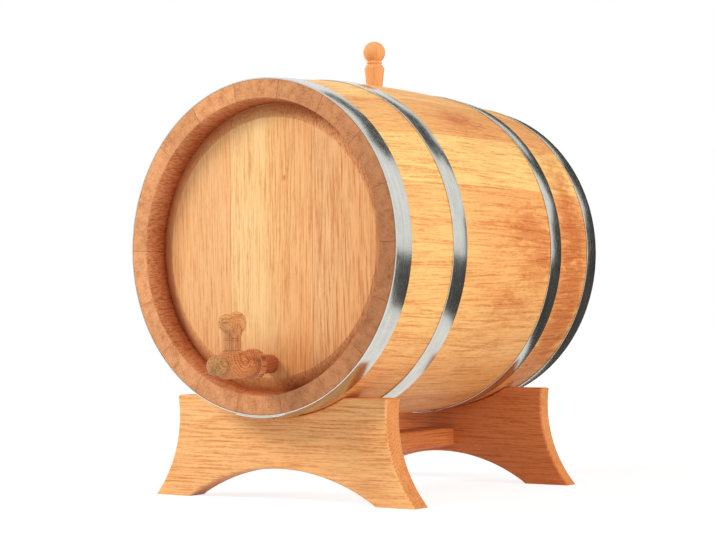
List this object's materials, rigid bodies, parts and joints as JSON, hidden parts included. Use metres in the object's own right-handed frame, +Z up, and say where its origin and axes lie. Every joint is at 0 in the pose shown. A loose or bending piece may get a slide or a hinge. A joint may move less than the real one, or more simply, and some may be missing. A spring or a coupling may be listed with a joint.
{
  "type": "cask drinks dispenser",
  "caption": "Small oak cask lying on a two-board cradle stand, with steel hoops, a turned wooden tap with a turning key, and a ball-topped bung.",
  "frame": {"origin": "centre of the overall box in plan, on the floor plane under the feet of the stand", "axes": "+Z up; the cask's axis runs along Y with the tapped front head towards -Y; +X to the right seen from the front head"},
  "size_m": [0.338, 0.4426, 0.4624],
  "materials": {
    "oak_stave": "planed and oiled oak",
    "oak_head": "planed oak, vertical grain",
    "oak_stand": "sawn and sanded oak",
    "turned_wood": "turned hardwood",
    "dowel_wood": "hardwood dowel",
    "hoop_steel": "galvanised strip, semi bright",
    "rivet_steel": "domed steel rivet"
  },
  "bodies": {
    "stand": {"stand_front_board": "oak_stand", "stand_rear_board": "oak_stand", "stand_stretcher": "oak_stand"},
    "cask": {"head_front_dowels": "dowel_wood", "head_front_left": "oak_head", "head_front_middle": "oak_head", "head_front_right": "oak_head", "head_rear_dowels": "dowel_wood", "head_rear_left": "oak_head", "head_rear_middle": "oak_head", "head_rear_right": "oak_head", "hoop_1": "hoop_steel", "hoop_1_rivets": "rivet_steel", "hoop_2": "hoop_steel", "hoop_2_rivets": "rivet_steel", "hoop_3": "hoop_steel", "hoop_3_rivets": "rivet_steel", "hoop_4": "hoop_steel", "hoop_4_rivets": "rivet_steel", "stave_01": "oak_stave", "stave_02": "oak_stave", "stave_03": "oak_stave", "stave_04": "oak_stave", "stave_06": "oak_stave", "stave_07": "oak_stave", "stave_08": "oak_stave", "stave_09": "oak_stave", "stave_10": "oak_stave", "stave_11": "oak_stave", "stave_12": "oak_stave", "stave_13": "oak_stave", "stave_14": "oak_stave", "stave_15": "oak_stave", "stave_16": "oak_stave", "stave_17": "oak_stave", "stave_18": "oak_stave", "stave_bung": "oak_stave"},
    "bung": {"bung": "turned_wood"},
    "tap": {"tap_body": "turned_wood"},
    "tap_key": {"tap_key_handle": "turned_wood", "tap_key_stem": "turned_wood"}
  },
  "joints": [
    {"name": "cask_lift", "type": "slide", "parent": "stand", "child": "cask", "axis": [0, 0, 1], "range_m": [0, 0.06]},
    {"name": "bung_pull", "type": "slide", "parent": "cask", "child": "bung", "axis": [0, 0, 1], "range_m": [0, 0.06]},
    {"name": "tap_pull", "type": "slide", "parent": "cask", "child": "tap", "axis": [0, -1, 0], "range_m": [0, 0.08]},
    {"name": "key_turn", "type": "hinge", "parent": "tap", "child": "tap_key", "pos_m": [0, -0.1897, 0.1323], "axis": [0, 0, 1], "continuous": true}
  ]
}
